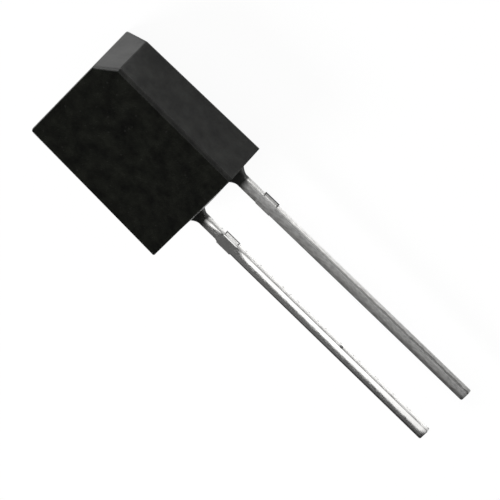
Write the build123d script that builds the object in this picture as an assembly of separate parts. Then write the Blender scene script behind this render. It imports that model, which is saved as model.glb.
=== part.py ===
"""Two-lead side-looking photodiode in a black cast epoxy block, lying on its back.

Millimetres. +X is across the block towards its chamfered corner, +Y runs up the block away from
the leads, +Z is the sensitive face's outward side. The origin is under the middle of the whole
part, on the plane it rests on.
"""
import os
from math import hypot, radians, tan

from build123d import *

# ---- driving sizes of the block ----
BODY_WIDTH = 5.0            # across the block at its lead end
BODY_HEIGHT = 6.35          # from the lead-side face to the closed end
BODY_THICKNESS = 3.2        # from the rear face to the sensitive face at the lead end
SIDE_DEPTH = 2.5            # how far the flat of each side runs back from the sensitive face
REAR_BEVEL = 39.0           # angle of the rear bevels to the rear face, degrees
FRONT_DRAFT = 1.85          # lean of the sensitive face towards the closed end, degrees
SIDE_DRAFT = 0.65           # lean of each side, degrees
CORNER_CHAMFER = 0.78       # leg of the chamfer that marks one corner of the closed end
EDGE_RADIUS = 0.1           # rounding of the moulded edges
CORNER_RADIUS = 0.2         # rounding of the closed end's unmarked corner
FREE_EDGE_RADIUS = 0.05     # rounding around the free cast face
DOME_RISE = 0.14            # how far the free cast face swells beyond its corners

# ---- driving sizes of the leads ----
LEAD_PITCH = 2.54           # between the lead centre lines
LEAD_WIDTH = 0.48
LEAD_THICKNESS = 0.25
LEAD_LENGTH = 11.65         # out of the lead-side face
LEAD_DEPTH = 1.88           # from the sensitive face (lead end) to the strip's front
LEAD_EDGE_RADIUS = 0.03     # worn long edges and cut end
COAT_CROWN = 0.02           # how far the solder coat bulges at the middle of each flat side
COAT_FADE = 0.22            # length over which the coat dies out at the tie-bar stub
STUB_START = 1.28           # first edge of the tie-bar stub, from the lead-side face
STUB_LENGTH = 0.68
STUB_REACH = 0.05           # how far the stub stands out beyond each side of the lead

# ---- driving sizes of the menisci ----
COLLAR_FOOT = 0.08          # foot and top of the meniscus, from the lead-side face
COLLAR_TOP = 0.48
COLLAR_SPREAD = 0.22        # resin around the lead at the foot
COLLAR_SKIN = 0.01          # resin around the lead at the top
COLLAR_CURVE = 3.5          # how sharply the meniscus sweeps in
COLLAR_SECTIONS = 6

# ---- driving sizes inside the block ----
PADDLE_HEIGHT = 3.0
PADDLE_START = 1.75         # paddle's lower edge above the lead-side face
DIE_SIZE = 2.75
DIE_THICKNESS = 0.3
ATTACH_THICKNESS = 0.04
ATTACH_MARGIN = 0.05        # adhesive squeezed out beyond each side of the die
POST_GAP = 0.35             # between bond post and paddle
POST_HEIGHT = 0.6
POST_WIDTH = 1.1
WIRE_SIZE = 0.05            # across the wire
WIRE_RISE = 0.28            # height of the loop above the die
WIRE_FOOT = 0.12            # flattened length at each end
WIRE_INSET = 0.25           # contact's distance from the die's edges

# ---- derived places ----
LEAD_FACE_Y = (LEAD_LENGTH - BODY_HEIGHT) / 2
TIP_Y = LEAD_FACE_Y - LEAD_LENGTH
TOP_Y = LEAD_FACE_Y + BODY_HEIGHT
STRIP_FRONT_Z = BODY_THICKNESS - LEAD_DEPTH
STRIP_MIDDLE_Z = STRIP_FRONT_Z - LEAD_THICKNESS / 2
CATHODE_X = LEAD_PITCH / 2
ANODE_X = -LEAD_PITCH / 2
PADDLE_WIDTH = LEAD_PITCH + LEAD_WIDTH
PADDLE_Y = LEAD_FACE_Y + PADDLE_START + PADDLE_HEIGHT / 2
POST_TOP_Y = LEAD_FACE_Y + PADDLE_START - POST_GAP
DIE_BACK_Z = STRIP_FRONT_Z + ATTACH_THICKNESS
DIE_FRONT_Z = DIE_BACK_Z + DIE_THICKNESS


def block_corners(height):
    """Corners of the block's section across the leads, at a height above the lead-side face."""
    half = BODY_WIDTH / 2 - height * tan(radians(SIDE_DRAFT))
    front = BODY_THICKNESS - height * tan(radians(FRONT_DRAFT))
    shoulder = BODY_THICKNESS - SIDE_DEPTH
    rear_half = half - shoulder / tan(radians(REAR_BEVEL))
    section = [(-half, front), (half, front), (half, shoulder), (rear_half, 0), (-rear_half, 0),
               (-half, shoulder)]
    return [Vector(x, LEAD_FACE_Y + height, z) for x, z in section]


def flat_sided_block(low, high):
    """Solid with flat sides between the block's sections at two heights."""
    lower, upper = block_corners(low), block_corners(high)
    ends = [lower, upper]
    sides = [[lower[i - 1], lower[i], upper[i], upper[i - 1]] for i in range(len(lower))]
    return Solid(Shell([Face(Wire.make_polygon(corners, close=True)) for corners in ends + sides]))


def corner_cutter():
    """Prism that takes the marking chamfer off the closed end's +X corner."""
    lean = tan(radians(SIDE_DRAFT))
    top_half = BODY_WIDTH / 2 - BODY_HEIGHT * lean
    on_top = Vector(top_half - CORNER_CHAMFER, TOP_Y, 0)
    on_side = Vector(top_half + CORNER_CHAMFER * lean, TOP_Y - CORNER_CHAMFER, 0)
    run = on_side - on_top
    outer = Vector(on_side.X + CORNER_CHAMFER, on_top.Y + CORNER_CHAMFER, 0)
    triangle = make_face(Polyline(on_top - run, on_side + run, outer, close=True))
    return Pos(0, 0, -BODY_THICKNESS) * extrude(triangle, amount=3 * BODY_THICKNESS, dir=(0, 0, 1))


def cast_block():
    """The moulded block: drafted, chamfered, edges rounded, with its gently swollen free cast face."""
    block = flat_sided_block(-2 * DOME_RISE, BODY_HEIGHT) - corner_cutter()
    far_corner = Vector(-BODY_WIDTH / 2, TOP_Y, BODY_THICKNESS / 2)
    block = fillet(block.edges().filter_by(Axis.Z).sort_by_distance(far_corner)[0], CORNER_RADIUS)
    seams = block.faces().filter_by(GeomType.PLANE, reverse=True).edges().filter_by(GeomType.LINE)
    moulded = [e for e in block.edges() if e.bounding_box().max.Y > LEAD_FACE_Y and e not in seams]
    block = fillet(moulded, EDGE_RADIUS)
    corner_reach = hypot(BODY_WIDTH, BODY_THICKNESS) / 2
    dome_radius = (corner_reach ** 2 + DOME_RISE ** 2) / (2 * DOME_RISE)
    block &= Pos(0, LEAD_FACE_Y - DOME_RISE + dome_radius, BODY_THICKNESS / 2) * Sphere(dome_radius)
    free_face = block.faces().sort_by(Axis.Y)[0]
    return fillet(free_face.edges(), FREE_EDGE_RADIUS)


def lead_section(x, y, crown=0.0, spread=0.0):
    """Lead section at a place along the lead, bulged by the coat or spread for the resin around it."""
    half_w = LEAD_WIDTH / 2 + spread
    half_t = LEAD_THICKNESS / 2 + spread
    plane = Plane(origin=(x, y, STRIP_MIDDLE_Z), x_dir=(1, 0, 0), z_dir=(0, 1, 0))
    outline = [ThreePointArc((-half_w, half_t), (0, half_t + crown), (half_w, half_t)),
               Line((half_w, half_t), (half_w, -half_t)),
               ThreePointArc((half_w, -half_t), (0, -half_t - crown), (-half_w, -half_t)),
               Line((-half_w, -half_t), (-half_w, half_t))]
    return plane * make_face(outline)


def resin_collar(x):
    """Concave meniscus of resin around one lead, from inside the swollen face up the lead."""
    sections = []
    for step in range(COLLAR_SECTIONS):
        rise = step / (COLLAR_SECTIONS - 1)
        spread = COLLAR_SKIN + (COLLAR_SPREAD - COLLAR_SKIN) * (1 - rise) ** COLLAR_CURVE
        y = LEAD_FACE_Y - COLLAR_FOOT - rise * (COLLAR_TOP - COLLAR_FOOT)
        plane = Plane(origin=(x, y, STRIP_MIDDLE_Z), x_dir=(1, 0, 0), z_dir=(0, 1, 0))
        sections.append(plane * RectangleRounded(LEAD_WIDTH + 2 * spread,
                                                 LEAD_THICKNESS + 2 * COAT_CROWN + 2 * spread,
                                                 COLLAR_SKIN / 2 + spread * 0.9))
    return loft(sections)


def coated_length(x, y_full, y_faded):
    """Length of solder-coated lead whose crown dies out towards y_faded."""
    fade = COAT_FADE if y_full > y_faded else -COAT_FADE
    flat = COAT_CROWN / 20
    sections = [lead_section(x, y_faded, flat), lead_section(x, y_faded + fade, COAT_CROWN),
                lead_section(x, y_full, COAT_CROWN)]
    return loft(sections if fade > 0 else sections[::-1], ruled=True)


def straight_lead(x, buried):
    """One lead from its cut end to a height inside the block, with its tie-bar stub."""
    stub_y = LEAD_FACE_Y - STUB_START - STUB_LENGTH / 2
    outer = coated_length(x, TIP_Y, stub_y - STUB_LENGTH / 2)
    outer = fillet(outer.edges().filter_by(Axis.Y) + outer.faces().sort_by(Axis.Y)[0].edges(),
                   LEAD_EDGE_RADIUS)
    inner = coated_length(x, LEAD_FACE_Y, stub_y + STUB_LENGTH / 2)
    stub = Pos(x, stub_y, STRIP_MIDDLE_Z) * Box(LEAD_WIDTH + 2 * STUB_REACH, STUB_LENGTH, LEAD_THICKNESS)
    root = Pos(x, LEAD_FACE_Y + buried / 2, STRIP_MIDDLE_Z) * Box(LEAD_WIDTH, buried, LEAD_THICKNESS)
    return outer + stub + inner + root


def cathode_lead():
    """Lead whose buried end widens into the paddle that carries the die."""
    paddle = Pos(0, PADDLE_Y, STRIP_MIDDLE_Z) * Box(PADDLE_WIDTH, PADDLE_HEIGHT, LEAD_THICKNESS)
    return straight_lead(CATHODE_X, PADDLE_START) + paddle


def anode_lead():
    """Lead whose buried end widens into the bond post below the paddle."""
    left = ANODE_X - LEAD_WIDTH / 2
    post = (Pos(left + POST_WIDTH / 2, POST_TOP_Y - POST_HEIGHT / 2, STRIP_MIDDLE_Z)
            * Box(POST_WIDTH, POST_HEIGHT, LEAD_THICKNESS))
    return straight_lead(ANODE_X, PADDLE_START - POST_GAP) + post


def die_attach():
    side = DIE_SIZE + 2 * ATTACH_MARGIN
    return Pos(0, PADDLE_Y, STRIP_FRONT_Z + ATTACH_THICKNESS / 2) * Box(side, side, ATTACH_THICKNESS)


def photodiode_die():
    return Pos(0, PADDLE_Y, DIE_BACK_Z + DIE_THICKNESS / 2) * Box(DIE_SIZE, DIE_SIZE, DIE_THICKNESS)


def bond_wire():
    """Gold wire looped from the die's contact down to the bond post, in the lead's lengthwise plane."""
    x = -DIE_SIZE / 2 + WIRE_INSET + WIRE_FOOT / 2
    y_die = PADDLE_Y - DIE_SIZE / 2 + WIRE_INSET
    y_post = POST_TOP_Y - POST_HEIGHT / 2
    z_die, z_post = DIE_FRONT_Z + WIRE_SIZE / 2, STRIP_FRONT_Z + WIRE_SIZE / 2
    z_loop = DIE_FRONT_Z + WIRE_RISE
    path = Polyline((x, y_die + WIRE_FOOT, z_die), (x, y_die, z_die), (x, y_die - WIRE_FOOT, z_loop),
                    (x, y_post + 3 * WIRE_FOOT, z_loop), (x, y_post + WIRE_FOOT, z_post), (x, y_post, z_post))
    start = Plane(origin=path @ 0, x_dir=(1, 0, 0), z_dir=path % 0)
    return sweep(start * Rectangle(WIRE_SIZE, WIRE_SIZE), path=path, transition=Transition.RIGHT)


def main():
    os.makedirs("parts", exist_ok=True)
    inside = {"cathode_lead": cathode_lead(), "anode_lead": anode_lead(), "die_attach": die_attach(),
              "photodiode_die": photodiode_die(), "bond_wire": bond_wire()}
    body = cast_block() + resin_collar(CATHODE_X) + resin_collar(ANODE_X)
    for shape in inside.values():
        body -= shape
    for node, shape in {"epoxy_body": body, **inside}.items():
        export_step(shape, f"parts/{node}.step")


main()
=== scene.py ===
"""Looks of a two-lead side-looking photodiode, laid out as an add-on and run as a script."""

from math import cos, pi, radians, sin, tan

import bmesh
import bpy
from bpy.props import FloatProperty, FloatVectorProperty, PointerProperty
from mathutils import Matrix, Vector


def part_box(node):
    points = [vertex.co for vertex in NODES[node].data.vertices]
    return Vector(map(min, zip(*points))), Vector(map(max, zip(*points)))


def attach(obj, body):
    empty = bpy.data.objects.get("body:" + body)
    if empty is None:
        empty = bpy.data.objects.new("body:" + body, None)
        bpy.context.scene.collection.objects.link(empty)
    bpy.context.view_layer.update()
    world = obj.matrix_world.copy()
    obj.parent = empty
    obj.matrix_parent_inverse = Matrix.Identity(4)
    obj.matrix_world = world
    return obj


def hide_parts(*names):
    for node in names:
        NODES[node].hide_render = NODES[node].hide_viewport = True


bl_info = {
    "name": "Side-looking photodiode",
    "version": (1, 0, 0),
    "blender": (4, 5, 0),
    "location": "3D View > Sidebar > Photodiode",
    "description": "Dresses the photodiode's frame and sets its small studio",
    "category": "Object",
}

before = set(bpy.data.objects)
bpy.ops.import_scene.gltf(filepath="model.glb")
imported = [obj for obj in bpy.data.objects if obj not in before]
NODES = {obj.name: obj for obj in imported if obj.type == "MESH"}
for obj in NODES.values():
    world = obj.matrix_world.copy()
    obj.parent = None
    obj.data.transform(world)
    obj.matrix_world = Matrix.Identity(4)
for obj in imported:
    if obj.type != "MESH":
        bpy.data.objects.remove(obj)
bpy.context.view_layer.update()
BLOCK_HIGH = Vector(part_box("epoxy_body")[1])
LEAD_LOW, LEAD_HIGH = (Vector(corner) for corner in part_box("cathode_lead"))

# places that several pieces share, in metres
BLOCK_HEIGHT = 0.00635              # from the plane of the lead-side face to the closed end
FACE_Y = BLOCK_HIGH.y - BLOCK_HEIGHT
TIP_Y = LEAD_LOW.y
STRIP_Z = (LEAD_LOW.z + LEAD_HIGH.z) / 2

# places of the two leads' values in a pair of settings
CATHODE, ANODE = 0, 1


# ---------------------------------------------------------------- settings

def length(name, description, millimetres):
    """A length property, given in millimetres and kept in metres."""
    return FloatProperty(name=name, description=description, default=millimetres / 1000,
                         unit="LENGTH", precision=5)


def place(name, description, millimetres):
    """A point or span, given in millimetres and kept in metres."""
    return FloatVectorProperty(name=name, description=description, size=3, unit="LENGTH", precision=5,
                               subtype="TRANSLATION", default=[value / 1000 for value in millimetres])


def turn(name, description, degrees):
    return FloatProperty(name=name, description=description, subtype="ANGLE", default=radians(degrees))


def share(name, description, value):
    return FloatProperty(name=name, description=description, subtype="FACTOR", min=0, max=1, default=value)


def level(name, description, value):
    return FloatProperty(name=name, description=description, min=0, default=value)


def tint(name, description, value):
    return FloatVectorProperty(name=name, description=description, subtype="COLOR", size=3, min=0, max=1,
                               default=value)


def pair(name, description, values, **kind):
    """A property with one value for the cathode's lead and one for the anode's."""
    return FloatVectorProperty(name=name, description=description, size=2, default=values, **kind)


def lengths(name, description, *millimetres):
    return pair(name, description, [value / 1000 for value in millimetres], unit="LENGTH", precision=5)


def turns(name, description, *degrees):
    return pair(name, description, [radians(value) for value in degrees], unit="ROTATION")


def shares(name, description, *values):
    return pair(name, description, values, min=0, max=1)


class PhotodiodeBlockSettings(bpy.types.PropertyGroup):
    """Sizes and finish of the cast block"""
    width: length("Width", "Across the block at its lead end", 4.999)
    height: length("Height", "From the lead-side face's rim to the closed end", 6.41)
    thickness: length("Thickness", "From the rear face to the sensitive face at the lead end", 3.2)
    side_depth: length("Side depth", "How far the flat of each side runs back", 2.5)
    chamfer: length("Corner chamfer", "Leg of the chamfer that marks one corner", 0.78)
    front_draft: turn("Front draft", "Lean of the sensitive face", 1.85)
    marked_draft: turn("Marked side draft", "Lean of the side next to the chamfer", 0.45)
    plain_draft: turn("Plain side draft", "Lean of the other side", 0.05)
    top_tilt: turn("Top tilt", "Lean of the closed end toward the marked side", 0.3)
    free_tilt: turn("Free face tilt", "Lean of the open-cast face toward the marked side", 0.57)
    rear_bevel: turn("Rear bevel", "Angle of the rear bevels to the rear face", 39.0)
    side_round: length("Side rounding", "Rounding between the sensitive face and the marked side", 0.14)
    plain_round: length("Plain side rounding", "Rounding between the sensitive face and the plain side", 0.13)
    chamfer_round: length("Chamfer rounding", "Rounding between the sensitive face and the chamfer", 0.12)
    edge_round: length("Edge rounding", "Rounding of the other moulded edges", 0.1)
    upright_round: length("Upright rounding", "Rounding of the chamfer's upright edges", 0.03)
    corner_round: length("Corner rounding", "Rounding of the closed end's unmarked corner", 0.15)
    free_corner: length("Free corner rounding", "Rounding of the plain corner at the lead end", 0.08)
    free_round: length("Free edge rounding", "Rounding around the free cast face", 0.0075)
    dome: length("Dome", "Swell of the free cast face", 0.09)
    meniscus_height: length("Meniscus height", "How far the resin is drawn up the leads", 0.4)
    meniscus_spread: length("Meniscus spread", "Resin beside the lead at the foot", 0.2)
    meniscus_depth: share("Meniscus depth", "Share of that spread before and behind the lead", 0.35)
    meniscus_skin: length("Meniscus skin", "Resin around the lead at the tip", 0.004)
    meniscus_curve: level("Meniscus curve", "How sharply the meniscus sweeps in", 2.0)
    collar: lengths("Collars", "Width of the lead that each meniscus hugs", 0.475, 0.43)
    coat_crown: length("Coat crown", "Bulge of the coat under the resin on each flat side", 0.02)
    colour: tint("Colour", "Colour of the dyed resin", (0.0019, 0.0023, 0.0009))
    dust: tint("Dust", "Colour of the fine specks on the resin", (0.012, 0.012, 0.0105))
    roughness: share("Roughness", "How rough the moulded faces are", 0.22)
    edge_roughness: share("Edge roughness", "How rough the rounding beside the marked side is", 0.6)
    chamfer_roughness: share("Chamfer roughness", "How rough the rounding beside the chamfer is", 0.38)
    cast_roughness: share("Cast roughness", "How rough the free cast face is", 0.4)
    ior: level("Index", "Refractive index of the resin", 1.45)
    sheen: share("Sheen", "Level of the mirrored light", 0.5)
    # Painted reflection: the rounding beside the chamfer mirrors more light than the rest of the resin
    chamfer_sheen: share("Chamfer sheen", "Level of the mirrored light beside the chamfer", 1.0)
    mottle: share("Mottle", "How far the mirrored light varies over the faces", 0.12)


class PhotodiodeLeadSettings(bpy.types.PropertyGroup):
    """Sizes, finish and painted shade of the solder-coated leads; a pair gives the cathode's value, then the
    anode's
    """
    pitch: length("Pitch", "Between the lead centre lines", 2.54)
    width: length("Width", "Across a lead", 0.48)
    thickness: length("Thickness", "Strip thickness", 0.25)
    edge_round: length("Edge rounding", "Rounding of the long edges", 0.03)
    tip_round: length("Tip rounding", "Rounding of the corners at the tip", 0.07)
    crown: lengths("Crown", "Bulge of the coat at the middle of each flat side", 0.005, 0.02)
    fade: lengths("Fade", "Length over which the crown dies out at the stub", 0.22, 0.6)
    belly: lengths("Side crown", "Bulge of the narrow sides", 0.03, 0.015)
    neck: lengths("Neck", "Width between the resin and the stub", 0.47, 0.42)
    neck_shift: lengths("Neck shift", "How far the neck stands toward the marked side", 0.0, 0.01)
    neck_twist: turns("Neck twist", "Further turn of the neck", -2.0, 2.0)
    twist: turns("Twist", "Turn of the lead about its length", 1.5, -6.3)
    splay: turns("Splay", "Lean of the lead to its side", -0.07, 0.31)
    stub_start: length("Stub start", "First edge of the tie-bar stub, from the lead-side face", 1.315)
    stub_length: length("Stub length", "Length of the tie-bar stub", 0.68)
    stub_reach: length("Stub reach", "How far the stub stands out on the marked side", 0.05)
    stub_back: lengths("Stub back", "How far the stub stands out on the plain side", 0.015, 0.035)
    stub_roll: lengths("Stub roll", "Rounding that the shear leaves on the stub's front edge", 0.02, 0.08)
    paddle_length: length("Paddle length", "Length of the die paddle on the cathode's buried end", 3.0)
    post_length: length("Post length", "Length of the bonding post on the anode's buried end", 0.6)
    post_width: length("Post width", "Width of the bonding post", 1.1)

    colour: tint("Colour", "Colour of the solder coat", (0.86, 0.855, 0.84))
    roughness: shares("Roughness", "How rough the flat sides are", 0.40, 0.14)
    side_roughness: shares("Side roughness", "How rough the narrow sides are", 0.2, 0.14)
    streak: shares("Streaks", "Darkest share of the coat's streaks", 0.74, 0.95)
    grain: shares("Grain", "Depth of the streaks in the coat", 0.12, 0.04)
    lumps: shares("Lumps", "Strength of the lumps in the coat", 0.5, 0.14)
    speck: shares("Specks", "Share left on the specks along the rear edges", 1.0, 0.5)
    # A small dark spot on the anode's edge, put in the coat's colour
    nick: place("Nick", "Place of the small dark nick on the anode's edge", (-1.02, -4.6, 1.26))
    dot_size: lengths("Nick size", "Radius of the nick, and 0 where a lead has none", 0.0, 0.075)
    dot_shade: share("Nick shade", "Share left on the nick", 0.2)
    # Resin film on the root, fading along the neck: resin under the meniscus, painted shade on the neck
    # beyond it
    root_film: length("Root film", "How far the resin covers the lead outright", 0.48)
    film: lengths("Film", "Length over which the film on the flat sides dies out", 0.28, 0.3)
    side_film: length("Side film", "Length over which the film on the narrow sides dies out", 0.08)
    film_shade: share("Film shade", "Share left under the resin film", 0.12)
    # The end of a lead is made darker over this length
    tip_fade: length("Tip film", "Length over which the darker end of a lead dies out", 0.22)
    tip: shares("Tip", "Share left at the very end", 0.6, 0.45)
    # Painted shade on the stub's sheared faces: a darker rim, and all but a strip at the front darkened
    stub_rim: length("Stub rim", "Width of the darker rim on the sheared faces", 0.055)
    rim_shade: share("Rim shade", "Share left on the rim of a sheared face", 0.15)
    shear: shares("Shear", "Share left on a sheared face, apart from a strip at its front", 0.5, 1.0)
    # Painted shade: a darker band along the rounded front edges of each lead
    seam: shares("Seam", "Share left at the tip on the darker seam along the front edges", 0.42, 0.44)
    front_edge_shade_root: shares("Seam root", "Share left on the seam at the stub", 0.55, 0.5)
    front_edge_shade_start: length("Seam start", "From the tip to where the seam begins to change", 5.08)
    front_edge_shade_inset: lengths("Seam inset", "How far the seam runs onto the flat side", 0.036, 0.062)
    front_edge_shade_drop: lengths("Seam drop", "How far the seam runs down the narrow side", 0.042, 0.055)
    # Painted shade: the narrow and flat sides darkened toward the tip, and a darker band along the plain
    # side's edge
    narrow_side_shade: shares("Tarnish", "Share left on the narrow sides near the tip", 0.42, 1.0)
    narrow_side_shade_start: length("Tarnish start", "From the tip to where the tarnish begins to clear", 2.54)
    narrow_side_shade_end: length("Tarnish end", "From the tip to where the tarnish has cleared", 8.52)
    flat_side_shade: shares("Wear", "Share left on the flat sides near the tip", 1.0, 0.7)
    flat_side_shade_end: length("Wear end", "From the tip to where the wear has cleared", 5.08)
    plain_edge_shade: shares("Gutter", "Share left at the tip along the plain side's edge", 0.42, 1.0)
    plain_edge_shade_end: length("Gutter end", "From the tip to where the gutter has cleared", 11.5)
    plain_edge_shade_width: length("Gutter width", "From the plain side's edge to where the gutter ends", 0.25)
    neck_plain_edge_shade: shares("Neck gutter", "Share left there on the neck", 0.6, 0.85)


class PhotodiodeInsideSettings(bpy.types.PropertyGroup):
    """Finishes of the pieces cast into the block"""
    die_colour: tint("Die colour", "Colour of the silicon", (0.03, 0.04, 0.09))
    die_roughness: share("Die roughness", "How rough the silicon is", 0.12)
    adhesive_colour: tint("Adhesive colour", "Colour of the silver-filled adhesive", (0.55, 0.55, 0.53))
    adhesive_roughness: share("Adhesive roughness", "How rough the adhesive is", 0.55)
    wire_colour: tint("Wire colour", "Colour of the gold wire", (0.83, 0.6, 0.25))
    wire_roughness: share("Wire roughness", "How rough the wire is", 0.2)


class PhotodiodeStageSettings(bpy.types.PropertyGroup):
    """Camera and light"""
    camera_place: place("Camera place", "Where the camera stands", (156.229, 8.590, 196.797))
    camera_aim: place("Camera aim", "Point in the middle of the view", (-0.197, 0.283, 1.960))
    camera_roll: turn("Camera roll", "Turn of the camera about its line of sight", -138.451)
    lens: FloatProperty(name="Lens", description="Focal length on a 36 mm wide sensor, in millimetres",
                        min=20, max=2000, default=497.70)
    floor_width: length("Floor width", "Side of the square floor", 4000.0)
    floor_paint: share("Floor paint", "Share of the light that the floor throws back", 0.8)
    seen_shade: level("Seen shade", "Share of the floor's look that follows the light", 0.06)
    seen_glow: level("Seen glow", "Share of the floor's look that is always there", 0.953)
    mirrored_shade: level("Mirrored shade", "What follows the light where the floor is mirrored", 1.30)
    mirrored_glow: level("Mirrored glow", "What is always there where the floor is mirrored", 0.08)
    surround: share("Surround", "Grey level of the room around the table", 0.125)
    lamp_aim: place("Lamp aim", "Point that the turned lamps face", (0.0, 6.0, 0.0))
    overhead_place: place("Overhead place", "Middle of the overhead strip", (-145.0, 0.0, 500.0))
    overhead_span: place("Overhead span", "Width and length of the overhead strip", (170.0, 300.0, 0.0))
    overhead_glow: level("Overhead glow", "Brightness of the overhead strip's face", 1.4)
    side_place: place("Side place", "Middle of the side softbox", (220.0, 0.0, 254.0))
    side_span: place("Side span", "Width and height of the side softbox", (260.0, 750.0, 0.0))
    side_glow: level("Side glow", "Brightness of the side softbox's face", 0.7)
    card_place: place("Card place", "Middle of the bright card behind the block", (33.0, 390.0, 225.0))
    card_span: place("Card span", "Width and height of the card", (300.0, 490.0, 0.0))
    card_glow: level("Card glow", "Brightness of the card", 1.7)
    key_place: place("Key place", "Middle of the key softbox", (-384.0, 103.0, 258.0))
    key_span: place("Key span", "Width and height of the key softbox", (200.0, 140.0, 0.0))
    key_glow: level("Key glow", "Brightness of the key softbox's face", 23.5)


class Lead:
    """Settings of one lead: its own value where a setting is a pair, otherwise the shared one."""

    def __init__(self, settings, index):
        self.settings, self.index = settings, index
        self.x = (settings.pitch if index == CATHODE else -settings.pitch) / 2
        self.stub_high = FACE_Y - settings.stub_start
        self.stub_low = self.stub_high - settings.stub_length

    def __getattr__(self, name):
        value = getattr(self.settings, name)
        return value[self.index] if isinstance(value, bpy.types.bpy_prop_array) else value


# ---------------------------------------------------------------- modelling helpers

FREE_CELLS = 14             # cells across the free face
MENISCUS_STEPS = 8          # steps in which a meniscus flares out
CROWN_STEPS = 4             # steps from the edge of a crown to its middle
FINE = 1e-8                 # merging distance that is small beside the smallest edge
NEAR = 1e-7                 # how far a vertex may lie from the place that it is picked by
PROUD = 1e-6                # how far a stub stands out of the flat sides that it is fused to
FACING = 0.99               # part of a normal along an axis that makes a face look that way
SQUARE = 0.999              # the same for a face that is square to the axis
SHARP = radians(20)         # least angle between the faces of an edge that gets rounded
SMOOTH = radians(40)        # greatest angle between faces that are shaded as one


def start_cube(name, low, high):
    """Adds a cube primitive between two corners and leaves it in edit mode, all selected."""
    if bpy.context.object and bpy.context.object.mode == "EDIT":
        bpy.ops.object.mode_set(mode="OBJECT")
    bpy.ops.object.select_all(action="DESELECT")
    low, high = Vector(low), Vector(high)
    bpy.ops.mesh.primitive_cube_add(size=1, location=(low + high) / 2)
    cube = bpy.context.object
    cube.name = cube.data.name = name
    cube.scale = high - low
    bpy.ops.object.transform_apply(location=True, rotation=True, scale=True)
    bpy.ops.object.mode_set(mode="EDIT")
    bpy.ops.mesh.select_all(action="SELECT")
    return cube


def pick(kind, test):
    """Selects only the vertices, edges or faces of the edited mesh that pass the test."""
    mesh = bmesh.from_edit_mesh(bpy.context.object.data)
    bpy.ops.mesh.select_mode(type={"verts": "VERT", "edges": "EDGE", "faces": "FACE"}[kind])
    bpy.ops.mesh.select_all(action="DESELECT")
    chosen = [part for part in getattr(mesh, kind) if test(part)]
    if not chosen:
        raise RuntimeError(f"nothing to pick on {bpy.context.object.name}")
    for part in chosen:
        part.select_set(True)
    mesh.select_flush_mode()
    bmesh.update_edit_mesh(bpy.context.object.data)


def middle(part):
    """Middle of an edge or face."""
    return sum((v.co for v in part.verts), Vector()) / len(part.verts)


def run(edge):
    """How far an edge runs along each axis."""
    start, end = (v.co for v in edge.verts)
    return Vector([abs(distance) for distance in end - start])


def along(axis, distance):
    """A step along one axis."""
    step = Vector()
    step[axis] = distance
    return step


def trim(point, direction):
    """Cuts away what lies beyond a plane, and closes the cut."""
    bpy.ops.mesh.select_all(action="SELECT")
    bpy.ops.mesh.bisect(plane_co=point, plane_no=direction, use_fill=True, clear_outer=True,
                        threshold=FINE)


def score(point, direction):
    """Divides the selection along a plane without removing anything."""
    bpy.ops.mesh.bisect(plane_co=point, plane_no=direction, threshold=FINE)


def round_off(radius, segments):
    """Rounds the selected edges."""
    bpy.ops.mesh.bevel(offset=radius, segments=segments, profile=0.5, affect="EDGES", clamp_overlap=False)


def weigh(test, weight):
    """Adds the weight, a share of the rounding, to each edge that passes the test."""
    pick("edges", test)
    bpy.ops.transform.edge_bevelweight(value=weight)


def round_by_weight(piece, radius, segments):
    """Leaves edit mode and rounds each edge by its share of the radius."""
    bpy.ops.object.mode_set(mode="OBJECT")
    bpy.ops.object.modifier_add(type="BEVEL")
    bevel = piece.modifiers[-1]
    bevel.width, bevel.segments, bevel.limit_method = radius, segments, "WEIGHT"
    bevel.use_clamp_overlap = False
    bpy.ops.object.modifier_apply(modifier=bevel.name)


def fuse(piece, other):
    """Joins another closed piece to this one and removes it."""
    bpy.ops.object.select_all(action="DESELECT")
    bpy.context.view_layer.objects.active = piece
    piece.select_set(True)
    bpy.ops.object.modifier_add(type="BOOLEAN")
    join = piece.modifiers[-1]
    join.operation, join.object, join.solver = "UNION", other, "EXACT"
    bpy.ops.object.modifier_apply(modifier=join.name)
    piece.select_set(False)
    other.select_set(True)
    bpy.ops.object.delete()
    bpy.context.view_layer.objects.active = piece
    piece.select_set(True)


def finish_piece(piece, node, material):
    """Cleans the mesh, shades it, dresses it and puts the piece in the place of its frame node."""
    bpy.ops.object.mode_set(mode="EDIT")
    bpy.ops.mesh.select_all(action="SELECT")
    bpy.ops.mesh.remove_doubles(threshold=FINE)
    bpy.ops.mesh.normals_make_consistent(inside=False)
    bpy.ops.object.mode_set(mode="OBJECT")
    bpy.ops.object.shade_smooth_by_angle(angle=SMOOTH)
    bpy.ops.object.modifier_add(type="WEIGHTED_NORMAL")
    shading = piece.modifiers[-1]
    shading.keep_sharp = True
    bpy.ops.object.modifier_apply(modifier=shading.name)
    piece.data.materials.clear()
    piece.data.materials.append(material)
    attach(piece, "root")
    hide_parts(node)


# ---------------------------------------------------------------- block

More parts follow.
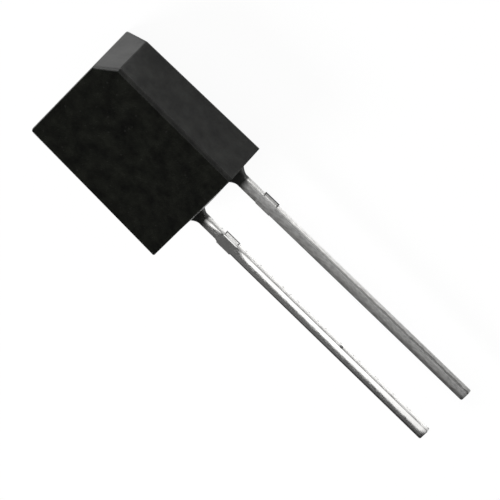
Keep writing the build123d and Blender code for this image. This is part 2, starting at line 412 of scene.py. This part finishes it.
def model_block(s, leads):
    """Casts the block: drafted box, marked corner, rear bevels, rounded edges, free face and menisci."""
    y_free, y_top = BLOCK_HIGH.y - s.height, BLOCK_HIGH.y
    half, spare, close = s.width / 2, s.width / 10, s.width / 100
    block = start_cube("cast_block", (-half - spare, y_free, 0), (half + spare, y_top, s.thickness + spare))
    shoulder = s.thickness - s.side_depth
    top_half = half - s.height * tan(s.marked_draft)
    trim((0, y_free, s.thickness), (0, sin(s.front_draft), cos(s.front_draft)))
    for side, draft in ((-1, s.plain_draft), (1, s.marked_draft)):
        trim((side * half, y_free, 0), (side * cos(draft), sin(draft), 0))
        rear = Vector((side, tan(draft), -1 / tan(s.rear_bevel))).normalized()
        trim((side * half, y_free, shoulder), rear)
    trim((-half, y_top, 0), (sin(s.top_tilt), cos(s.top_tilt), 0))
    side_run = s.chamfer * (1 + tan(s.marked_draft))
    trim((top_half - s.chamfer, y_top, 0), Vector((s.chamfer, side_run, 0)).normalized())

    def upright(edge):
        return run(edge).z > s.side_depth / 2

    pick("edges", lambda e: upright(e) and middle(e).x < spare - half and middle(e).y > y_top - close)
    round_off(s.corner_round, 6)
    pick("edges", lambda e: upright(e) and middle(e).x < s.corner_round - half
         and middle(e).y < y_free + close)
    round_off(s.free_corner, 4)
    round_moulded_edges(s, block, upright, y_free + s.free_corner)

    bpy.ops.object.mode_set(mode="EDIT")
    swell_free_face(s, y_free)
    y_turned = y_free + s.free_corner * 1.5     # just above the roundings of the free face
    pick("verts", lambda v: v.co.y < y_turned)
    bpy.ops.transform.rotate(value=s.free_tilt, orient_axis="Z", center_override=(half, y_turned, 0))
    bpy.ops.object.mode_set(mode="OBJECT")
    for index in (ANODE, CATHODE):
        fuse(block, model_meniscus(s, Lead(leads, index), y_free))
    return block


def round_moulded_edges(s, block, upright, y_low):
    """Rounds the edges above the free face, those of the sensitive face each by its own radius."""
    def beside(edge, test):
        """Whether the edge joins the sensitive face to a face whose normal passes the test."""
        normals = [face.normal for face in edge.link_faces]
        return any(normal.z > FACING for normal in normals) and any(test(normal) for normal in normals)

    def beside_marked(edge):
        return beside(edge, lambda normal: normal.x > FACING)

    def beside_plain(edge):
        return beside(edge, lambda normal: normal.x < -FACING)

    def beside_chamfer(edge):
        return beside(edge, lambda normal: min(normal.x, normal.y) > 0.5)

    def sharp(edge):
        return edge.calc_face_angle() > SHARP and middle(edge).y > y_low

    def other(edge):
        return sharp(edge) and not (upright(edge) or beside_marked(edge) or beside_plain(edge)
                                    or beside_chamfer(edge))

    for test, radius in ((other, s.edge_round), (beside_marked, s.side_round), (beside_plain, s.plain_round),
                         (beside_chamfer, s.chamfer_round),
                         (lambda edge: sharp(edge) and upright(edge), s.upright_round)):
        weigh(test, radius / s.side_round)
    round_by_weight(block, s.side_round, 6)


def swell_free_face(s, y_free):
    """Rounds the edge of the open-cast face, divides the face and lets it swell in the middle."""
    def on_free_face(face):
        return face.normal.y < -SQUARE and middle(face).y < y_free + FINE

    pick("edges", lambda e: any(on_free_face(f) for f in e.link_faces) and e.calc_face_angle() > SHARP)
    round_off(s.free_round, 3)
    centre, cell = Vector((0, y_free, s.thickness / 2)), s.width / FREE_CELLS
    for axis, steps in ((0, FREE_CELLS // 2 - 1), (2, int(s.thickness / 2 / cell))):
        for step in range(-steps, steps + 1):
            pick("faces", on_free_face)
            score(centre + along(axis, step * cell), along(axis, 1))
    pick("verts", lambda v: (v.co - centre).length < cell / 10)
    bpy.ops.transform.translate(value=(0, -s.dome, 0), use_proportional_edit=True,
                                use_proportional_connected=False,
                                proportional_edit_falloff="INVERSE_SQUARE",
                                proportional_size=centre.z - s.free_round)


def model_meniscus(s, lead, y_free):
    """Resin drawn up around one lead: a rounded tip flared out step by step to its foot in the block."""
    tip_w = s.collar[lead.index] / 2 + s.meniscus_skin
    tip_t = lead.thickness / 2 + s.coat_crown + s.meniscus_skin
    y_tip, y_foot = y_free - s.meniscus_height, y_free - s.dome * 0.2
    first = (y_foot - y_tip) / MENISCUS_STEPS
    collar = start_cube("meniscus", (lead.x - tip_w, y_tip, STRIP_Z - tip_t),
                        (lead.x + tip_w, y_tip + first, STRIP_Z + tip_t))
    pick("edges", lambda e: run(e).y > first / 2)
    round_off(lead.thickness * 0.4, 6)
    spread = 0
    for step in range(2, MENISCUS_STEPS + 3):
        wider = s.meniscus_spread * min(1, step / MENISCUS_STEPS) ** s.meniscus_curve
        pick("faces", lambda f: f.normal.y > SQUARE)
        bpy.ops.mesh.extrude_region_move(TRANSFORM_OT_translate={"value": (0, first, 0)})
        deeper = (tip_t + wider * s.meniscus_depth) / (tip_t + spread * s.meniscus_depth)
        bpy.ops.transform.resize(value=((tip_w + wider) / (tip_w + spread), 1, deeper),
                                 center_override=(lead.x, y_tip + step * first, STRIP_Z))
        spread = wider
    bpy.ops.object.mode_set(mode="OBJECT")
    return collar


# ---------------------------------------------------------------- leads

def bulge(centre, facing, across, half, flat, rise, keep):
    """Divides the two sides that face along one axis, and crowns them at each height that keep allows."""
    for step in range(-CROWN_STEPS + 1, CROWN_STEPS):
        pick("faces", lambda f: abs(f.normal[facing]) > SQUARE)
        score(along(across, centre[across] + flat * step / CROWN_STEPS), along(across, 1))
    for step in range(-CROWN_STEPS + 1, CROWN_STEPS):
        line = centre[across] + flat * step / CROWN_STEPS
        lift = rise * (1 - (step / CROWN_STEPS) ** 2)
        for side in (-1, 1):
            pick("verts", lambda v: abs(v.co[across] - line) < NEAR and keep(v.co.y)
                 and (v.co[facing] - centre[facing]) * side > half - NEAR)
            bpy.ops.transform.translate(value=along(facing, side * lift))


def model_lead(lead, name, y_root):
    """One lead: rounded strip, crowned by its coat, with its neck, its twist and its stub."""
    x, half_w, half_t = lead.x, lead.width / 2, lead.thickness / 2
    stub_high, stub_low, fade = lead.stub_high, lead.stub_low, lead.fade
    y_tip = TIP_Y + half_w * abs(sin(lead.splay))
    strip = start_cube(name, (x - half_w, y_tip, STRIP_Z - half_t), (x + half_w, y_root, STRIP_Z + half_t))
    pick("edges", lambda e: run(e).z > half_t and middle(e).y < y_tip + FINE)
    round_off(lead.tip_round, 5)
    pick("edges", lambda e: any(abs(f.normal.z) > FACING for f in e.link_faces)
         and middle(e).y < y_root - FINE)
    round_off(lead.edge_round, 5)

    # crown of the coat on the flat sides, which dies out at the tip and inside the stub
    inside = lead.stub_rim / 4
    for y in (stub_high + fade, stub_high + fade / 5, stub_high - inside, stub_low + inside, stub_low - fade,
              y_tip + fade / 2):
        bpy.ops.mesh.select_all(action="SELECT")
        score((x, y, 0), (0, 1, 0))
    centre, flat_w, flat_t = (x, 0, STRIP_Z), half_w - lead.edge_round, half_t - lead.edge_round
    bulge(centre, 2, 0, half_t, flat_w, lead.crown,
          lambda y: y_tip + fade / 4 < y < stub_low - NEAR or stub_high + fade / 2 < y < FACE_Y)
    bulge(centre, 0, 2, half_w, flat_t, lead.belly, lambda y: y > y_tip + fade / 4)

    # narrower neck between the resin and the stub, and the twist of all but the stub
    pick("verts", lambda v: v.co.y > stub_high + fade / 10)
    bpy.ops.transform.resize(value=(lead.neck / lead.width, 1, 1), center_override=centre)
    bpy.ops.transform.rotate(value=lead.neck_twist, orient_axis="Y", center_override=centre)
    bpy.ops.transform.translate(value=(lead.neck_shift, 0, 0))
    pick("verts", lambda v: not stub_low - NEAR < v.co.y < stub_high + NEAR)
    bpy.ops.transform.rotate(value=lead.twist, orient_axis="Y", center_override=centre)
    bpy.ops.object.mode_set(mode="OBJECT")

    fuse(strip, model_stub(lead, half_w, half_t))
    bpy.ops.object.mode_set(mode="EDIT")
    pick("verts", lambda v: v.co.y < FACE_Y)
    bpy.ops.transform.rotate(value=lead.splay, orient_axis="Z", center_override=(x, FACE_Y, STRIP_Z))
    bpy.ops.object.mode_set(mode="OBJECT")
    return strip


def model_stub(lead, half_w, half_t):
    """Stub of the sheared tie bar, with its front edge on the marked side rolled over by the shear."""
    stub = start_cube("stub", (lead.x - half_w - lead.stub_back, lead.stub_low, STRIP_Z - half_t - PROUD),
                      (lead.x + half_w + lead.stub_reach, lead.stub_high, STRIP_Z + half_t + PROUD))

    def rolled(edge):
        return middle(edge).x > lead.x + half_w and middle(edge).z > STRIP_Z + half_t

    weigh(rolled, 1.0)
    weigh(lambda e: not rolled(e), lead.stub_reach / 3 / lead.stub_roll)
    round_by_weight(stub, lead.stub_roll, 4)
    return stub


def add_plate(strip, low, high):
    """Fuses a stamped plate, between two corners, to the buried end of a lead."""
    plate = start_cube("plate", low, high)
    bpy.ops.object.mode_set(mode="OBJECT")
    fuse(strip, plate)


# ---------------------------------------------------------------- materials

# repeats of the patterns to the metre
CLOUD_SCALE, DUST_SCALE, GRAIN_SCALE = 1900.0, 2600.0, 9000.0
STREAK_SCALE, LUMP_SCALE, SPECK_SCALE, WANDER_SCALE = (15000.0, 5000.0, 15000.0), 2200.0, 1900.0, 2600.0

# depth of the patterns' relief, in metres
GRAIN_DEPTH, STREAK_DEPTH, LUMP_DEPTH = 0.000004, 0.000012, 0.00003

# what the patterns do to colours and finishes
NOISE_RANGE = 0.3, 0.7              # a noise pattern lies mostly between these
CLOUD_RANGE, CLOUD_TONES = (0.35, 0.65), (0.4, 1.8)     # the resin's mottling, and its share of the colour
STREAK_RANGE = 0.35, 0.6            # the streaks, from their darkest to where the coat is clean
RESIN_SCATTER = -0.04, 0.05         # what the mottling adds to the resin's roughness
COAT_SCATTER = -0.06, 0.08          # what the streaks add to the coat's roughness
PLAIN_SPREAD = 0.8, 1.2             # share of the roughness over a plain finish
GRAIN_STRENGTH = 0.15               # strength of the resin's relief
DUST_RADIUS = 0.05, 0.13            # of a dust grain's core and of its rim, in cells of the pattern
SPECK_RADIUS = 0.06                 # in cells of the pattern
# the band of painted shade along the front edges wanders in its drop
FRONT_EDGE_SHADE_WANDER = 0.6, 1.4              # share of the seam's drop over its length
DOT_BLUR = 1.3                     # how many times its radius the nick's soft edge reaches

# parts of a normal that tell the faces and roundings apart
ROUNDING_START = 0.05, 0.2          # along X and Z, where a rounding beside the sensitive face sets in
CHAMFER_START = 0.0, 0.3            # along Y, from the rounding of the marked side to the chamfer's
NARROW, EDGE_TURN = 0.5, (0.45, 0.55)   # along X, where a lead's flat side turns into a narrow one
SHEARED = 0.6                       # along X, on the sheared faces of a stub


class Nodes:
    """Small helper that adds and joins shader nodes."""

    def __init__(self, name):
        self.material = bpy.data.materials.new(name)
        self.material.use_nodes = True
        self.tree = self.material.node_tree
        self.tree.nodes.clear()
        self.output = self.add("ShaderNodeOutputMaterial")

    def add(self, kind, **settings):
        """Adds a node; each setting goes to its attribute of that name or, without one, to its input."""
        node = self.tree.nodes.new(kind)
        for key, value in settings.items():
            if hasattr(node, key):
                setattr(node, key, value)
            else:
                self.feed(node.inputs[key.replace("_", " ")], value)
        return node

    def feed(self, socket, value):
        if isinstance(value, bpy.types.NodeSocket):
            self.tree.links.new(value, socket)
        else:
            socket.default_value = value

    def join(self, kind, *values):
        """Adds a node and feeds its inputs in their order."""
        node = self.add(kind)
        for socket, value in zip(node.inputs, values):
            self.feed(socket, value)
        return node.outputs[0]

    def maths(self, operation, first, second=0.0):
        node = self.add("ShaderNodeMath", operation=operation)
        self.feed(node.inputs[0], first)
        self.feed(node.inputs[1], second)
        return node.outputs[0]

    def times(self, first, *others):
        """Product of values; of masks, the mask where all of them are 1."""
        for value in others:
            first = self.maths("MULTIPLY", first, value)
        return first

    def above(self, value, limit):
        return self.maths("GREATER_THAN", value, limit)

    def below(self, value, limit):
        return self.maths("LESS_THAN", value, limit)

    def distance(self, value, centre):
        return self.maths("ABSOLUTE", self.maths("SUBTRACT", value, centre))

    def ramp(self, value, low, high, at_low, at_high):
        """The value between low and high mapped to the two given levels."""
        return self.add("ShaderNodeMapRange", Value=value, From_Min=low, From_Max=high, To_Min=at_low,
                        To_Max=at_high).outputs["Result"]

    def where(self, mask, left):
        """The share that is left where the mask is 1, and 1 where it is 0."""
        return self.ramp(mask, 0, 1, 1.0, left)

    def mix(self, factor, first, second, blend_type="MIX"):
        """Mixes two colours."""
        node = self.add("ShaderNodeMix", data_type="RGBA", blend_type=blend_type)
        self.feed(node.inputs["Factor"], factor)
        self.feed(node.inputs["A"], first)
        self.feed(node.inputs["B"], second)
        return node.outputs["Result"]

    def noise(self, vector, scale, detail, roughness=0.5):
        return self.add("ShaderNodeTexNoise", Vector=vector, Scale=scale, Detail=detail,
                        Roughness=roughness).outputs["Fac"]

    def finish(self, shader):
        """Puts the shader on the surface and returns the material."""
        self.feed(self.output.inputs["Surface"], shader)
        return self.material


def epoxy_material(s):
    """Dyed resin: fine mottling and dust, a rougher free cast face, roundings with their own roughness, and a
    painted reflection on the rounding beside the chamfer.
    """
    n = Nodes("dyed epoxy")
    coords = n.add("ShaderNodeTexCoord").outputs
    spot = coords["Object"]
    facing = n.add("ShaderNodeSeparateXYZ", Vector=coords["Normal"]).outputs
    cloud = n.noise(spot, CLOUD_SCALE, detail=5.0, roughness=0.65)
    grain = n.noise(spot, GRAIN_SCALE, detail=1.0)
    dust = n.add("ShaderNodeTexVoronoi", Vector=spot, Scale=DUST_SCALE, Randomness=1.0).outputs["Distance"]
    mottled = n.mix(1.0, (*s.colour, 1), n.ramp(cloud, *CLOUD_RANGE, *CLOUD_TONES), "MULTIPLY")
    colour = n.mix(n.ramp(dust, *DUST_RADIUS, 1.0, 0.0), mottled, (*s.dust, 1))

    moulded = n.ramp(cloud, *NOISE_RANGE, *(s.roughness + scatter for scatter in RESIN_SCATTER))
    cast = n.ramp(n.add("ShaderNodeSeparateXYZ", Vector=spot).outputs["Y"], FACE_Y - s.free_round,
                  FACE_Y + s.free_round * 2, s.cast_roughness, 0.0)
    rounding = n.maths("MINIMUM", facing["X"], facing["Z"])
    rounded = n.ramp(rounding, *ROUNDING_START, 0.0,
                     n.ramp(facing["Y"], *CHAMFER_START, s.edge_roughness, s.chamfer_roughness))
    rough = n.maths("MAXIMUM", moulded, n.maths("MAXIMUM", rounded, cast))
    # painted reflection: a raised mirror level on the rounding beside the chamfer
    chamfer_reflection_boost = n.ramp(n.maths("MINIMUM", rounding, facing["Y"]), *ROUNDING_START, 0.0, s.chamfer_sheen)
    sheen = n.maths("MAXIMUM", n.ramp(cloud, *NOISE_RANGE, s.sheen - s.mottle, s.sheen + s.mottle), chamfer_reflection_boost)
    bump = n.add("ShaderNodeBump", Height=grain, Strength=GRAIN_STRENGTH, Distance=GRAIN_DEPTH)
    return n.finish(n.add("ShaderNodeBsdfPrincipled", Base_Color=colour, Roughness=rough, IOR=s.ior,
                          Specular_IOR_Level=sheen, Normal=bump.outputs["Normal"]).outputs["BSDF"])


class CoatNodes(Nodes):
    """Shader nodes of one lead's coat, with the measures that place its marks and its painted shade."""

    def __init__(self, name, lead):
        super().__init__(name)
        self.lead = lead
        coords = self.add("ShaderNodeTexCoord").outputs
        self.place = coords["Object"]
        self.at = self.add("ShaderNodeSeparateXYZ", Vector=self.place).outputs
        normal = self.add("ShaderNodeSeparateXYZ", Vector=coords["Normal"]).outputs
        self.facing = self.maths("ABSOLUTE", normal["X"])
        self.off_centre = self.distance(self.at["X"], lead.x)
        self.off_stub = self.distance(self.at["Y"], (lead.stub_high + lead.stub_low) / 2)


def solder_material(name, lead):
    """Solder coat of one lead: streaked and lumpy, with specks and a dark spot, darkened under the resin
    film, and with painted shade on the neck, the stub's sheared faces, the front edges and toward the tip.
    """
    n = CoatNodes(name, lead)
    stretch = n.add("ShaderNodeMapping", Vector=n.place, Scale=STREAK_SCALE).outputs["Vector"]
    streaks = n.noise(stretch, 1.0, detail=3.0, roughness=0.6)
    lumps = n.noise(n.place, LUMP_SCALE, detail=2.0)
    fine = n.add("ShaderNodeBump", Height=streaks, Strength=lead.grain, Distance=STREAK_DEPTH)
    bump = n.add("ShaderNodeBump", Height=lumps, Strength=lead.lumps, Distance=LUMP_DEPTH,
                 Normal=fine.outputs["Normal"])

    # the coat's streaks, resin film, dark spot and specks, times the painted shade on the neck, the stub, the
    # front edges and toward the tip
    coat = n.times(n.ramp(streaks, *STREAK_RANGE, lead.streak, 1.0), film_and_shade_share(n, lead), dot_share(n, lead),
                   speck_share(n, lead), stub_shade_share(n, lead), front_edge_shade_share(n, lead), painted_shade_share(n, lead))
    gloss = n.ramp(n.facing, *EDGE_TURN, lead.roughness, lead.side_roughness)
    rough = n.maths("ADD", gloss, n.ramp(streaks, *NOISE_RANGE, *COAT_SCATTER))
    return n.finish(n.add("ShaderNodeBsdfPrincipled", Base_Color=n.mix(coat, (0, 0, 0, 1), (*lead.colour, 1)),
                          Roughness=rough, Metallic=1.0, Normal=bump.outputs["Normal"]).outputs["BSDF"])


def film_and_shade_share(n, lead):
    """Share left under the resin film at the root, whose fade along the neck is painted shade, and on the
    darker end of a lead.
    """
    film_end = FACE_Y - lead.root_film
    flat = n.ramp(n.at["Y"], film_end - lead.film, film_end, 1.0, lead.film_shade)
    narrow = n.ramp(n.at["Y"], film_end - lead.side_film, film_end, 1.0, lead.film_shade)
    root = n.maths("MAXIMUM", flat, n.times(narrow, n.above(n.facing, NARROW)))
    return n.times(root, n.ramp(n.at["Y"], TIP_Y, TIP_Y + lead.tip_fade, lead.tip, 1.0))


def dot_share(n, lead):
    """Share left on a small dark spot, where the lead has one."""
    if not lead.dot_size:
        return 1.0
    spot = n.add("ShaderNodeVectorMath", operation="DISTANCE")
    n.feed(spot.inputs[0], n.place)
    n.feed(spot.inputs[1], lead.nick)
    return n.ramp(spot.outputs["Value"], lead.dot_size, lead.dot_size * DOT_BLUR, lead.dot_shade, 1.0)


def speck_share(n, lead):
    """Share left on the specks strewn along the rear edges of the narrow sides, clear of the stub."""
    strewn = n.add("ShaderNodeTexVoronoi", voronoi_dimensions="1D", W=n.at["Y"], Scale=SPECK_SCALE,
                   Randomness=1.0).outputs["Distance"]
    rear = n.times(n.above(n.facing, NARROW), n.below(n.at["Z"], STRIP_Z - lead.thickness / 5),
                   n.above(n.off_stub, lead.stub_length / 2))
    return n.where(n.times(rear, n.below(strewn, SPECK_RADIUS)), lead.speck)


def stub_shade_share(n, lead):
    """Painted shade on the stub's sheared faces: darkened below a strip at the front, which is left bright as
    a highlight, with a darker rim at the tip's end and along the rear.
    """
    sheared = n.times(n.above(n.facing, SHEARED),
                      n.below(n.off_stub, lead.stub_length / 2 + lead.stub_rim / 8),
                      n.above(n.off_centre, lead.width / 2 + lead.stub_reach * 0.7))
    end = n.times(n.above(n.off_stub, lead.stub_length / 2 - lead.stub_rim),
                  n.below(n.at["Y"], lead.stub_high - lead.stub_rim / 3))
    foot = n.below(n.at["Z"], STRIP_Z - lead.thickness / 2 + lead.stub_rim * 1.4)
    most = n.below(n.at["Z"], STRIP_Z + lead.thickness / 4)
    return n.times(n.where(n.times(sheared, n.maths("MAXIMUM", end, foot)), lead.rim_shade),
                   n.where(n.times(sheared, most), lead.shear))


def front_edge_shade_share(n, lead):
    """Painted shade along the rounded front edges: a darker band that wanders a little and is broken by the
    stub.
    """
    wander = n.add("ShaderNodeTexNoise", noise_dimensions="1D", W=n.at["Y"], Scale=WANDER_SCALE,
                   Detail=2.0).outputs["Fac"]
    drop = n.times(n.ramp(wander, *NOISE_RANGE, *FRONT_EDGE_SHADE_WANDER), lead.front_edge_shade_drop)
    seam = n.times(n.above(n.off_centre, lead.width / 2 - lead.front_edge_shade_inset),
                   n.above(n.maths("ADD", n.at["Z"], drop), STRIP_Z + lead.thickness / 2),
                   n.above(n.off_stub, lead.stub_length / 2))
    left = n.ramp(n.at["Y"], TIP_Y + lead.front_edge_shade_start, lead.stub_low, lead.seam, lead.front_edge_shade_root)
    return n.where(seam, left)


def painted_shade_share(n, lead):
    """Painted shade: narrow and flat sides darkened toward the tip, and a darker band along the plain side's
    edge near the tip and on the neck.
    """
    narrow = n.ramp(n.at["Y"], TIP_Y + lead.narrow_side_shade_start, TIP_Y + lead.narrow_side_shade_end, lead.narrow_side_shade, 1.0)
    flat = n.ramp(n.at["Y"], TIP_Y, TIP_Y + lead.flat_side_shade_end, lead.flat_side_shade, 1.0)
    depth = n.maths("MINIMUM", n.ramp(n.at["Y"], TIP_Y, TIP_Y + lead.plain_edge_shade_end, lead.plain_edge_shade, 1.0),
                    n.ramp(n.at["Y"], lead.stub_high, lead.stub_high + lead.fade / 2, 1.0, lead.neck_plain_edge_shade))
    off_edge = n.maths("SUBTRACT", n.at["X"], lead.x - lead.width / 2)
    plain_edge_shade = n.ramp(off_edge, lead.plain_edge_shade_width / 2, lead.plain_edge_shade_width, depth, 1.0)
    return n.times(n.maths("MAXIMUM", n.times(flat, plain_edge_shade), n.above(n.facing, NARROW)),
                   n.maths("MAXIMUM", narrow, n.below(n.facing, NARROW)))


def plain_material(name, colour, roughness, metallic):
    """An even finish with a fine grain in its gloss."""
    n = Nodes(name)
    grain = n.noise(n.add("ShaderNodeTexCoord").outputs["Object"], GRAIN_SCALE, detail=2.0)
    rough = n.ramp(grain, 0.0, 1.0, *(roughness * part for part in PLAIN_SPREAD))
    return n.finish(n.add("ShaderNodeBsdfPrincipled", Base_Color=(*colour, 1), Roughness=rough,
                          Metallic=metallic).outputs["BSDF"])


def grey(tone):
    return tone, tone, tone, 1


def floor_material(s):
    """White floor: plain white for lighting, near-white with a soft shadow where it is looked at."""
    n = Nodes("white floor")
    path = n.add("ShaderNodeLightPath").outputs

    def look(shade, glow):
        lit = n.add("ShaderNodeBsdfDiffuse", Color=grey(shade)).outputs["BSDF"]
        own = n.add("ShaderNodeEmission", Strength=glow).outputs["Emission"]
        return n.join("ShaderNodeAddShader", lit, own)

    paint = n.add("ShaderNodeBsdfDiffuse", Color=grey(s.floor_paint)).outputs["BSDF"]
    looked_at = n.join("ShaderNodeMixShader", path["Is Camera Ray"], look(s.mirrored_shade, s.mirrored_glow),
                       look(s.seen_shade, s.seen_glow))
    seen = n.maths("MAXIMUM", n.maths("MAXIMUM", path["Is Camera Ray"], path["Is Glossy Ray"]),
                   path["Is Transmission Ray"])
    return n.finish(n.join("ShaderNodeMixShader", seen, paint, looked_at))


def dress(node, material):
    """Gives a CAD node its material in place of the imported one."""
    mesh = NODES[node].data
    mesh.materials.clear()
    mesh.materials.append(material)


# ---------------------------------------------------------------- stage

SENSOR = 36.0               # width of the camera's sensor, in millimetres
CLIP = 0.001, 50.0          # nearest and farthest thing that the camera sees, in metres


def soft_box(name, centre, aim, span, glow):
    """Flat lamp around its centre, turned to aim; glow is the radiance of its face."""
    width, height, _ = span
    bpy.ops.object.light_add(type="AREA", location=centre)
    lamp = bpy.context.object
    lamp.name = name
    lamp.data.shape = "RECTANGLE"
    lamp.data.size, lamp.data.size_y = width, height
    lamp.data.energy = glow * pi * width * height
    lamp.rotation_euler = (Vector(aim) - Vector(centre)).to_track_quat("-Z", "Y").to_euler()
    lamp.visible_camera = False
    return lamp


# ---------------------------------------------------------------- operators

class PHOTODIODE_OT_block(bpy.types.Operator):
    """Model the cast epoxy block"""
    bl_idname = "photodiode.block"
    bl_label = "Epoxy block"

    def execute(self, context):
        settings = context.scene.photodiode_block
        block = model_block(settings, context.scene.photodiode_leads)
        finish_piece(block, "epoxy_body", epoxy_material(settings))
        return {"FINISHED"}


class PHOTODIODE_OT_leads(bpy.types.Operator):
    """Model the two leads with the plates on their buried ends"""
    bl_idname = "photodiode.leads"
    bl_label = "Leads"

    def execute(self, context):
        s = context.scene.photodiode_leads
        edge, half_t = (s.pitch + s.width) / 2, s.thickness / 2
        paddle_high, post_high = LEAD_HIGH.y, Vector(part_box("anode_lead")[1]).y
        paddle_low, post_low = paddle_high - s.paddle_length, post_high - s.post_length

        cathode = Lead(s, CATHODE)
        strip = model_lead(cathode, "cathode_strip", paddle_low + s.width)
        add_plate(strip, (-edge, paddle_low, STRIP_Z - half_t), (edge, paddle_high, STRIP_Z + half_t))
        # the cathode's coat is rougher, and darker partly through painted shade
        finish_piece(strip, "cathode_lead", solder_material("dull solder", cathode))

        anode = Lead(s, ANODE)
        strip = model_lead(anode, "anode_strip", post_high - s.width / 2)
        add_plate(strip, (-edge, post_low, STRIP_Z - half_t),
                  (s.post_width - edge, post_high, STRIP_Z + half_t))
        finish_piece(strip, "anode_lead", solder_material("bright solder", anode))
        return {"FINISHED"}


class PHOTODIODE_OT_inside(bpy.types.Operator):
    """Dress the die, its adhesive and the bond wire"""
    bl_idname = "photodiode.inside"
    bl_label = "Inside pieces"

    def execute(self, context):
        s = context.scene.photodiode_inside
        dress("photodiode_die", plain_material("silicon", s.die_colour, s.die_roughness, 0.0))
        dress("die_attach", plain_material("silver adhesive", s.adhesive_colour, s.adhesive_roughness, 1.0))
        dress("bond_wire", plain_material("gold wire", s.wire_colour, s.wire_roughness, 1.0))
        return {"FINISHED"}


class PHOTODIODE_OT_stage(bpy.types.Operator):
    """Set the floor, the lights and the camera"""
    bl_idname = "photodiode.stage"
    bl_label = "Stage"

    def execute(self, context):
        s = context.scene.photodiode_stage
        bpy.ops.mesh.primitive_plane_add(size=s.floor_width, location=(0, 0, 0))
        floor = context.object
        floor.name = "floor"
        floor.data.materials.append(floor_material(s))

        world = bpy.data.worlds.new("studio")
        world.use_nodes = True
        world.node_tree.nodes["Background"].inputs["Color"].default_value = grey(s.surround)
        context.scene.world = world

        below = Vector(s.overhead_place) - Vector((0, 0, 1))
        soft_box("overhead strip", s.overhead_place, below, s.overhead_span, s.overhead_glow)
        soft_box("side softbox", s.side_place, s.lamp_aim, s.side_span, s.side_glow)
        card = soft_box("back card", s.card_place, s.lamp_aim, s.card_span, s.card_glow)
        card.visible_diffuse = False
        key = soft_box("key softbox", s.key_place, s.lamp_aim, s.key_span, s.key_glow)
        key.visible_glossy = False

        aim, eye = Vector(s.camera_aim), Vector(s.camera_place)
        bpy.ops.object.camera_add(location=eye)
        camera = context.object
        camera.rotation_euler = ((aim - eye).to_track_quat("-Z", "Y").to_matrix()
                                 @ Matrix.Rotation(s.camera_roll, 3, "Z")).to_euler()
        camera.data.lens, camera.data.sensor_width = s.lens, SENSOR
        camera.data.clip_start, camera.data.clip_end = CLIP
        context.scene.camera = camera
        context.scene.view_settings.view_transform = "Standard"
        return {"FINISHED"}


OPERATORS = (PHOTODIODE_OT_block, PHOTODIODE_OT_leads, PHOTODIODE_OT_inside, PHOTODIODE_OT_stage)


class PHOTODIODE_PT_panel(bpy.types.Panel):
    """Lists the pieces of the photodiode"""
    bl_idname = "PHOTODIODE_PT_panel"
    bl_label = "Photodiode"
    bl_space_type = "VIEW_3D"
    bl_region_type = "UI"
    bl_category = "Photodiode"

    def draw(self, context):
        for operator in OPERATORS:
            self.layout.operator(operator.bl_idname)


SETTINGS = {"photodiode_block": PhotodiodeBlockSettings, "photodiode_leads": PhotodiodeLeadSettings,
            "photodiode_inside": PhotodiodeInsideSettings, "photodiode_stage": PhotodiodeStageSettings}


def register():
    for cls in (*SETTINGS.values(), *OPERATORS, PHOTODIODE_PT_panel):
        bpy.utils.register_class(cls)
    for name, cls in SETTINGS.items():
        setattr(bpy.types.Scene, name, PointerProperty(type=cls))


def unregister():
    for name in SETTINGS:
        delattr(bpy.types.Scene, name)
    for cls in (PHOTODIODE_PT_panel, *OPERATORS, *SETTINGS.values()):
        bpy.utils.unregister_class(cls)


def main():
    register()
    bpy.ops.object.select_all(action="DESELECT")
    bpy.ops.photodiode.block()
    bpy.ops.photodiode.leads()
    bpy.ops.photodiode.inside()
    bpy.ops.photodiode.stage()


if __name__ == "__main__":
    main()
